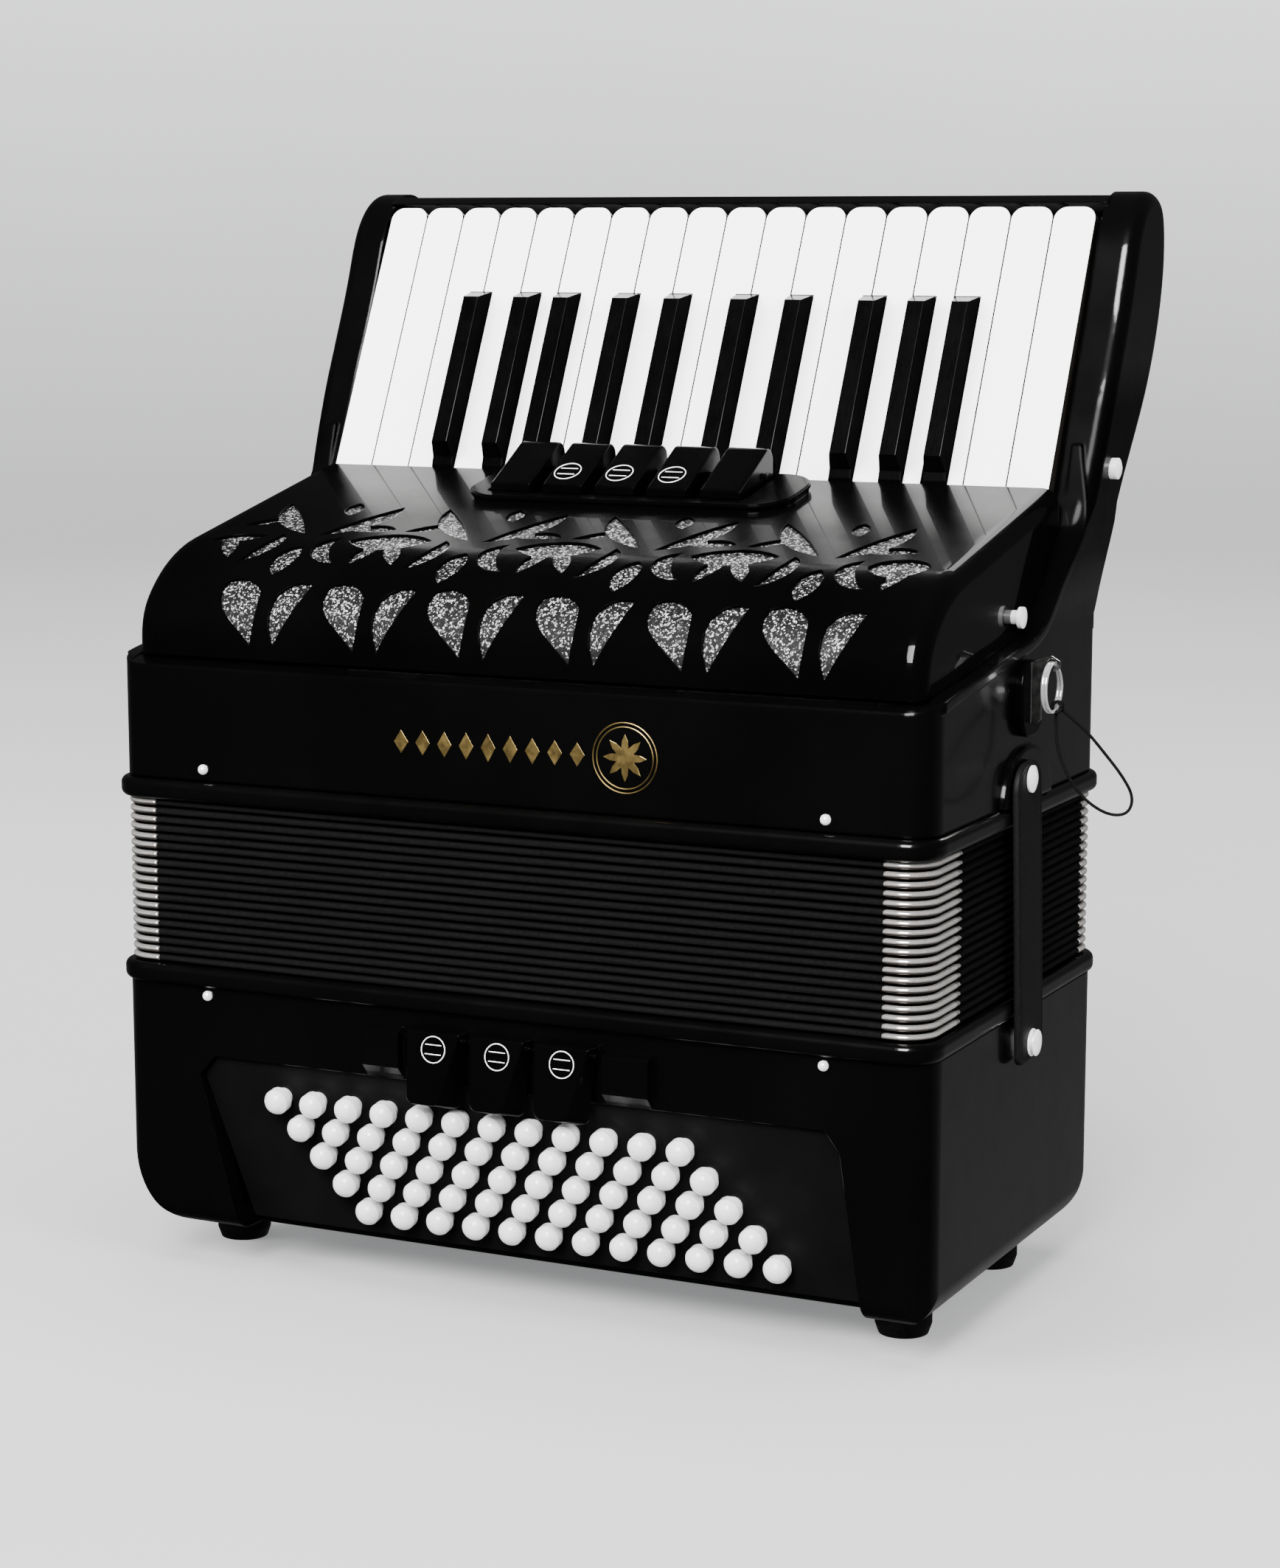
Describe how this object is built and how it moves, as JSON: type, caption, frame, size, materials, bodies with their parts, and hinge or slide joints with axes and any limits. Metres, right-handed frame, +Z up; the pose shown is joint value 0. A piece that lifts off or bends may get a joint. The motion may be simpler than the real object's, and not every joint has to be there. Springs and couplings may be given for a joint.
{
  "type": "piano accordion",
  "caption": "Black piano accordion on its bass feet: leaning keyboard, pierced grille cover over glitter cloth, closed bellows with metal corners, slanted bass button board.",
  "frame": {"origin": "on the floor, in the middle of the four feet", "axes": "+Z up from the bass end to the keyboard, +X along the keyboard towards the end with the strap ring, the grille and the buttons face -Y"},
  "size_m": [0.396, 0.2531, 0.4285],
  "materials": {
    "lacquer": "black gloss lacquer",
    "cover_lacquer": "black gloss",
    "board": "satin black",
    "glitter_cloth": "silver glitter cloth",
    "frame_black": "satin black lacquer",
    "bellows_cloth": "black woven cloth over card",
    "corner_metal": "polished",
    "foot_rubber": "matte",
    "chrome": "polished",
    "strap_leather": "black, stitched",
    "axle_steel": "ground",
    "plate_black": "black gloss",
    "cord_black": "woven elastic",
    "key_white": "polished",
    "key_black": "polished",
    "register_black": "polished",
    "button_white": "polished"
  },
  "bodies": {
    "bass_end": {"bass_case": "lacquer", "bass_button_board": "board", "bellows_frame_lower": "frame_black", "bellows_folds": "bellows_cloth", "bellows_corners": "corner_metal", "feet": "foot_rubber", "bass_fasteners": "chrome", "hand_strap": "strap_leather"},
    "treble_end": {"treble_case": "lacquer", "grille_cover": "cover_lacquer", "grille_cloth": "glitter_cloth", "key_axle": "axle_steel", "bellows_frame_upper": "frame_black", "treble_fasteners": "chrome", "ring_plate": "plate_black"},
    "strap_ring": {"strap_ring": "chrome", "ring_cord": "cord_black"},
    "bellows_strap": {"bellows_strap": "strap_leather"},
    "air_button": {"air_button": "register_black"},
    "white_key_01": {"white_key_01": "key_white"},
    "white_key_02": {"white_key_02": "key_white"},
    "white_key_03": {"white_key_03": "key_white"},
    "white_key_04": {"white_key_04": "key_white"},
    "white_key_05": {"white_key_05": "key_white"},
    "white_key_06": {"white_key_06": "key_white"},
    "white_key_07": {"white_key_07": "key_white"},
    "white_key_08": {"white_key_08": "key_white"},
    "white_key_09": {"white_key_09": "key_white"},
    "white_key_10": {"white_key_10": "key_white"},
    "white_key_11": {"white_key_11": "key_white"},
    "white_key_12": {"white_key_12": "key_white"},
    "white_key_13": {"white_key_13": "key_white"},
    "white_key_14": {"white_key_14": "key_white"},
    "white_key_15": {"white_key_15": "key_white"},
    "white_key_16": {"white_key_16": "key_white"},
    "white_key_17": {"white_key_17": "key_white"},
    "white_key_18": {"white_key_18": "key_white"},
    "black_key_01": {"black_key_01": "key_black"},
    "black_key_02": {"black_key_02": "key_black"},
    "black_key_03": {"black_key_03": "key_black"},
    "black_key_04": {"black_key_04": "key_black"},
    "black_key_05": {"black_key_05": "key_black"},
    "black_key_06": {"black_key_06": "key_black"},
    "black_key_07": {"black_key_07": "key_black"},
    "black_key_08": {"black_key_08": "key_black"},
    "black_key_09": {"black_key_09": "key_black"},
    "black_key_10": {"black_key_10": "key_black"},
    "treble_register_1": {"treble_register_1": "register_black"},
    "treble_register_2": {"treble_register_2": "register_black"},
    "treble_register_3": {"treble_register_3": "register_black"},
    "treble_register_4": {"treble_register_4": "register_black"},
    "treble_register_5": {"treble_register_5": "register_black"},
    "bass_register_1": {"bass_register_1": "register_black"},
    "bass_register_2": {"bass_register_2": "register_black"},
    "bass_register_3": {"bass_register_3": "register_black"},
    "bass_buttons_row_1": {"bass_buttons_row_1": "button_white"},
    "bass_buttons_row_2": {"bass_buttons_row_2": "button_white"},
    "bass_buttons_row_3": {"bass_buttons_row_3": "button_white"},
    "bass_buttons_row_4": {"bass_buttons_row_4": "button_white"},
    "bass_buttons_row_5": {"bass_buttons_row_5": "button_white"}
  },
  "joints": [
    {"name": "bellows_slide", "type": "slide", "parent": "bass_end", "child": "treble_end", "axis": [0, 0, 1], "range_m": [0, 0.25], "deforming": ["bellows_folds", "bellows_corners"]},
    {"name": "white_key_01_press", "type": "hinge", "parent": "treble_end", "child": "white_key_01", "pos_m": [0, 0.04671, 0.26602], "axis": [-1, 0, 0], "range_deg": [0, 1.4], "stiffness_Nm_per_rad": 1.5, "springref_deg": -1.72},
    {"name": "white_key_02_press", "type": "hinge", "parent": "treble_end", "child": "white_key_02", "pos_m": [0, 0.04671, 0.26602], "axis": [-1, 0, 0], "range_deg": [0, 1.4], "stiffness_Nm_per_rad": 1.5, "springref_deg": -1.72},
    {"name": "white_key_03_press", "type": "hinge", "parent": "treble_end", "child": "white_key_03", "pos_m": [0, 0.04671, 0.26602], "axis": [-1, 0, 0], "range_deg": [0, 1.4], "stiffness_Nm_per_rad": 1.5, "springref_deg": -1.72},
    {"name": "white_key_04_press", "type": "hinge", "parent": "treble_end", "child": "white_key_04", "pos_m": [0, 0.04671, 0.26602], "axis": [-1, 0, 0], "range_deg": [0, 1.4], "stiffness_Nm_per_rad": 1.5, "springref_deg": -1.72},
    {"name": "white_key_05_press", "type": "hinge", "parent": "treble_end", "child": "white_key_05", "pos_m": [0, 0.04671, 0.26602], "axis": [-1, 0, 0], "range_deg": [0, 1.4], "stiffness_Nm_per_rad": 1.5, "springref_deg": -1.72},
    {"name": "white_key_06_press", "type": "hinge", "parent": "treble_end", "child": "white_key_06", "pos_m": [0, 0.04671, 0.26602], "axis": [-1, 0, 0], "range_deg": [0, 1.4], "stiffness_Nm_per_rad": 1.5, "springref_deg": -1.72},
    {"name": "white_key_07_press", "type": "hinge", "parent": "treble_end", "child": "white_key_07", "pos_m": [0, 0.04671, 0.26602], "axis": [-1, 0, 0], "range_deg": [0, 1.4], "stiffness_Nm_per_rad": 1.5, "springref_deg": -1.72},
    {"name": "white_key_08_press", "type": "hinge", "parent": "treble_end", "child": "white_key_08", "pos_m": [0, 0.04671, 0.26602], "axis": [-1, 0, 0], "range_deg": [0, 1.4], "stiffness_Nm_per_rad": 1.5, "springref_deg": -1.72},
    {"name": "white_key_09_press", "type": "hinge", "parent": "treble_end", "child": "white_key_09", "pos_m": [0, 0.04671, 0.26602], "axis": [-1, 0, 0], "range_deg": [0, 1.4], "stiffness_Nm_per_rad": 1.5, "springref_deg": -1.72},
    {"name": "white_key_10_press", "type": "hinge", "parent": "treble_end", "child": "white_key_10", "pos_m": [0, 0.04671, 0.26602], "axis": [-1, 0, 0], "range_deg": [0, 1.4], "stiffness_Nm_per_rad": 1.5, "springref_deg": -1.72},
    {"name": "white_key_11_press", "type": "hinge", "parent": "treble_end", "child": "white_key_11", "pos_m": [0, 0.04671, 0.26602], "axis": [-1, 0, 0], "range_deg": [0, 1.4], "stiffness_Nm_per_rad": 1.5, "springref_deg": -1.72},
    {"name": "white_key_12_press", "type": "hinge", "parent": "treble_end", "child": "white_key_12", "pos_m": [0, 0.04671, 0.26602], "axis": [-1, 0, 0], "range_deg": [0, 1.4], "stiffness_Nm_per_rad": 1.5, "springref_deg": -1.72},
    {"name": "white_key_13_press", "type": "hinge", "parent": "treble_end", "child": "white_key_13", "pos_m": [0, 0.04671, 0.26602], "axis": [-1, 0, 0], "range_deg": [0, 1.4], "stiffness_Nm_per_rad": 1.5, "springref_deg": -1.72},
    {"name": "white_key_14_press", "type": "hinge", "parent": "treble_end", "child": "white_key_14", "pos_m": [0, 0.04671, 0.26602], "axis": [-1, 0, 0], "range_deg": [0, 1.4], "stiffness_Nm_per_rad": 1.5, "springref_deg": -1.72},
    {"name": "white_key_15_press", "type": "hinge", "parent": "treble_end", "child": "white_key_15", "pos_m": [0, 0.04671, 0.26602], "axis": [-1, 0, 0], "range_deg": [0, 1.4], "stiffness_Nm_per_rad": 1.5, "springref_deg": -1.72},
    {"name": "white_key_16_press", "type": "hinge", "parent": "treble_end", "child": "white_key_16", "pos_m": [0, 0.04671, 0.26602], "axis": [-1, 0, 0], "range_deg": [0, 1.4], "stiffness_Nm_per_rad": 1.5, "springref_deg": -1.72},
    {"name": "white_key_17_press", "type": "hinge", "parent": "treble_end", "child": "white_key_17", "pos_m": [0, 0.04671, 0.26602], "axis": [-1, 0, 0], "range_deg": [0, 1.4], "stiffness_Nm_per_rad": 1.5, "springref_deg": -1.72},
    {"name": "white_key_18_press", "type": "hinge", "parent": "treble_end", "child": "white_key_18", "pos_m": [0, 0.04671, 0.26602], "axis": [-1, 0, 0], "range_deg": [0, 1.4], "stiffness_Nm_per_rad": 1.5, "springref_deg": -1.72},
    {"name": "black_key_01_press", "type": "hinge", "parent": "treble_end", "child": "black_key_01", "pos_m": [0, 0.04671, 0.26602], "axis": [-1, 0, 0], "range_deg": [0, 1.4], "stiffness_Nm_per_rad": 1.5, "springref_deg": -1.72},
    {"name": "black_key_02_press", "type": "hinge", "parent": "treble_end", "child": "black_key_02", "pos_m": [0, 0.04671, 0.26602], "axis": [-1, 0, 0], "range_deg": [0, 1.4], "stiffness_Nm_per_rad": 1.5, "springref_deg": -1.72},
    {"name": "black_key_03_press", "type": "hinge", "parent": "treble_end", "child": "black_key_03", "pos_m": [0, 0.04671, 0.26602], "axis": [-1, 0, 0], "range_deg": [0, 1.4], "stiffness_Nm_per_rad": 1.5, "springref_deg": -1.72},
    {"name": "black_key_04_press", "type": "hinge", "parent": "treble_end", "child": "black_key_04", "pos_m": [0, 0.04671, 0.26602], "axis": [-1, 0, 0], "range_deg": [0, 1.4], "stiffness_Nm_per_rad": 1.5, "springref_deg": -1.72},
    {"name": "black_key_05_press", "type": "hinge", "parent": "treble_end", "child": "black_key_05", "pos_m": [0, 0.04671, 0.26602], "axis": [-1, 0, 0], "range_deg": [0, 1.4], "stiffness_Nm_per_rad": 1.5, "springref_deg": -1.72},
    {"name": "black_key_06_press", "type": "hinge", "parent": "treble_end", "child": "black_key_06", "pos_m": [0, 0.04671, 0.26602], "axis": [-1, 0, 0], "range_deg": [0, 1.4], "stiffness_Nm_per_rad": 1.5, "springref_deg": -1.72},
    {"name": "black_key_07_press", "type": "hinge", "parent": "treble_end", "child": "black_key_07", "pos_m": [0, 0.04671, 0.26602], "axis": [-1, 0, 0], "range_deg": [0, 1.4], "stiffness_Nm_per_rad": 1.5, "springref_deg": -1.72},
    {"name": "black_key_08_press", "type": "hinge", "parent": "treble_end", "child": "black_key_08", "pos_m": [0, 0.04671, 0.26602], "axis": [-1, 0, 0], "range_deg": [0, 1.4], "stiffness_Nm_per_rad": 1.5, "springref_deg": -1.72},
    {"name": "black_key_09_press", "type": "hinge", "parent": "treble_end", "child": "black_key_09", "pos_m": [0, 0.04671, 0.26602], "axis": [-1, 0, 0], "range_deg": [0, 1.4], "stiffness_Nm_per_rad": 1.5, "springref_deg": -1.72},
    {"name": "black_key_10_press", "type": "hinge", "parent": "treble_end", "child": "black_key_10", "pos_m": [0, 0.04671, 0.26602], "axis": [-1, 0, 0], "range_deg": [0, 1.4], "stiffness_Nm_per_rad": 1.5, "springref_deg": -1.72},
    {"name": "treble_register_1_press", "type": "hinge", "parent": "treble_end", "child": "treble_register_1", "pos_m": [-0.0063, 0.0385, 0.3158], "axis": [1, 0, 0], "range_deg": [0, 4.5], "stiffness_Nm_per_rad": 0.3, "springref_deg": -8.59},
    {"name": "treble_register_2_press", "type": "hinge", "parent": "treble_end", "child": "treble_register_2", "pos_m": [-0.0063, 0.0385, 0.3158], "axis": [1, 0, 0], "range_deg": [0, 4.5], "stiffness_Nm_per_rad": 0.3, "springref_deg": -8.59},
    {"name": "treble_register_3_press", "type": "hinge", "parent": "treble_end", "child": "treble_register_3", "pos_m": [-0.0063, 0.0385, 0.3158], "axis": [1, 0, 0], "range_deg": [0, 4.5], "stiffness_Nm_per_rad": 0.3, "springref_deg": -8.59},
    {"name": "treble_register_4_press", "type": "hinge", "parent": "treble_end", "child": "treble_register_4", "pos_m": [-0.0063, 0.0385, 0.3158], "axis": [1, 0, 0], "range_deg": [0, 4.5], "stiffness_Nm_per_rad": 0.3, "springref_deg": -8.59},
    {"name": "treble_register_5_press", "type": "hinge", "parent": "treble_end", "child": "treble_register_5", "pos_m": [-0.0063, 0.0385, 0.3158], "axis": [1, 0, 0], "range_deg": [0, 4.5], "stiffness_Nm_per_rad": 0.3, "springref_deg": -8.59},
    {"name": "bass_register_1_press", "type": "hinge", "parent": "bass_end", "child": "bass_register_1", "pos_m": [0, -0.09832, 0.10694], "axis": [1, 0, 0], "range_deg": [0, 5.5], "stiffness_Nm_per_rad": 0.3, "springref_deg": -8.59},
    {"name": "bass_register_2_press", "type": "hinge", "parent": "bass_end", "child": "bass_register_2", "pos_m": [0, -0.09832, 0.10694], "axis": [1, 0, 0], "range_deg": [0, 5.5], "stiffness_Nm_per_rad": 0.3, "springref_deg": -8.59},
    {"name": "bass_register_3_press", "type": "hinge", "parent": "bass_end", "child": "bass_register_3", "pos_m": [0, -0.09832, 0.10694], "axis": [1, 0, 0], "range_deg": [0, 5.5], "stiffness_Nm_per_rad": 0.3, "springref_deg": -8.59},
    {"name": "bass_buttons_row_1_press", "type": "slide", "parent": "bass_end", "child": "bass_buttons_row_1", "axis": [0, 0.9864, 0.1644], "range_m": [0, 0.003], "stiffness_N_per_m": 300, "springref_m": -0.003},
    {"name": "bass_buttons_row_2_press", "type": "slide", "parent": "bass_end", "child": "bass_buttons_row_2", "axis": [0, 0.9864, 0.1644], "range_m": [0, 0.003], "stiffness_N_per_m": 300, "springref_m": -0.003},
    {"name": "bass_buttons_row_3_press", "type": "slide", "parent": "bass_end", "child": "bass_buttons_row_3", "axis": [0, 0.9864, 0.1644], "range_m": [0, 0.003], "stiffness_N_per_m": 300, "springref_m": -0.003},
    {"name": "bass_buttons_row_4_press", "type": "slide", "parent": "bass_end", "child": "bass_buttons_row_4", "axis": [0, 0.9864, 0.1644], "range_m": [0, 0.003], "stiffness_N_per_m": 300, "springref_m": -0.003},
    {"name": "bass_buttons_row_5_press", "type": "slide", "parent": "bass_end", "child": "bass_buttons_row_5", "axis": [0, 0.9864, 0.1644], "range_m": [0, 0.003], "stiffness_N_per_m": 300, "springref_m": -0.003},
    {"name": "air_button_press", "type": "slide", "parent": "bass_end", "child": "air_button", "axis": [1, 0, 0], "range_m": [0, 0.0045], "stiffness_N_per_m": 300, "springref_m": -0.004},
    {"name": "strap_ring_swing", "type": "hinge", "parent": "treble_end", "child": "strap_ring", "pos_m": [0.1845, 0.0013, 0.2522], "axis": [0, -1, 0], "range_deg": [0, 85]},
    {"name": "bellows_strap_swing", "type": "hinge", "parent": "treble_end", "child": "bellows_strap", "pos_m": [0.1772, -0.0038, 0.2085], "axis": [1, 0, 0], "range_deg": [-75, 75]}
  ]
}
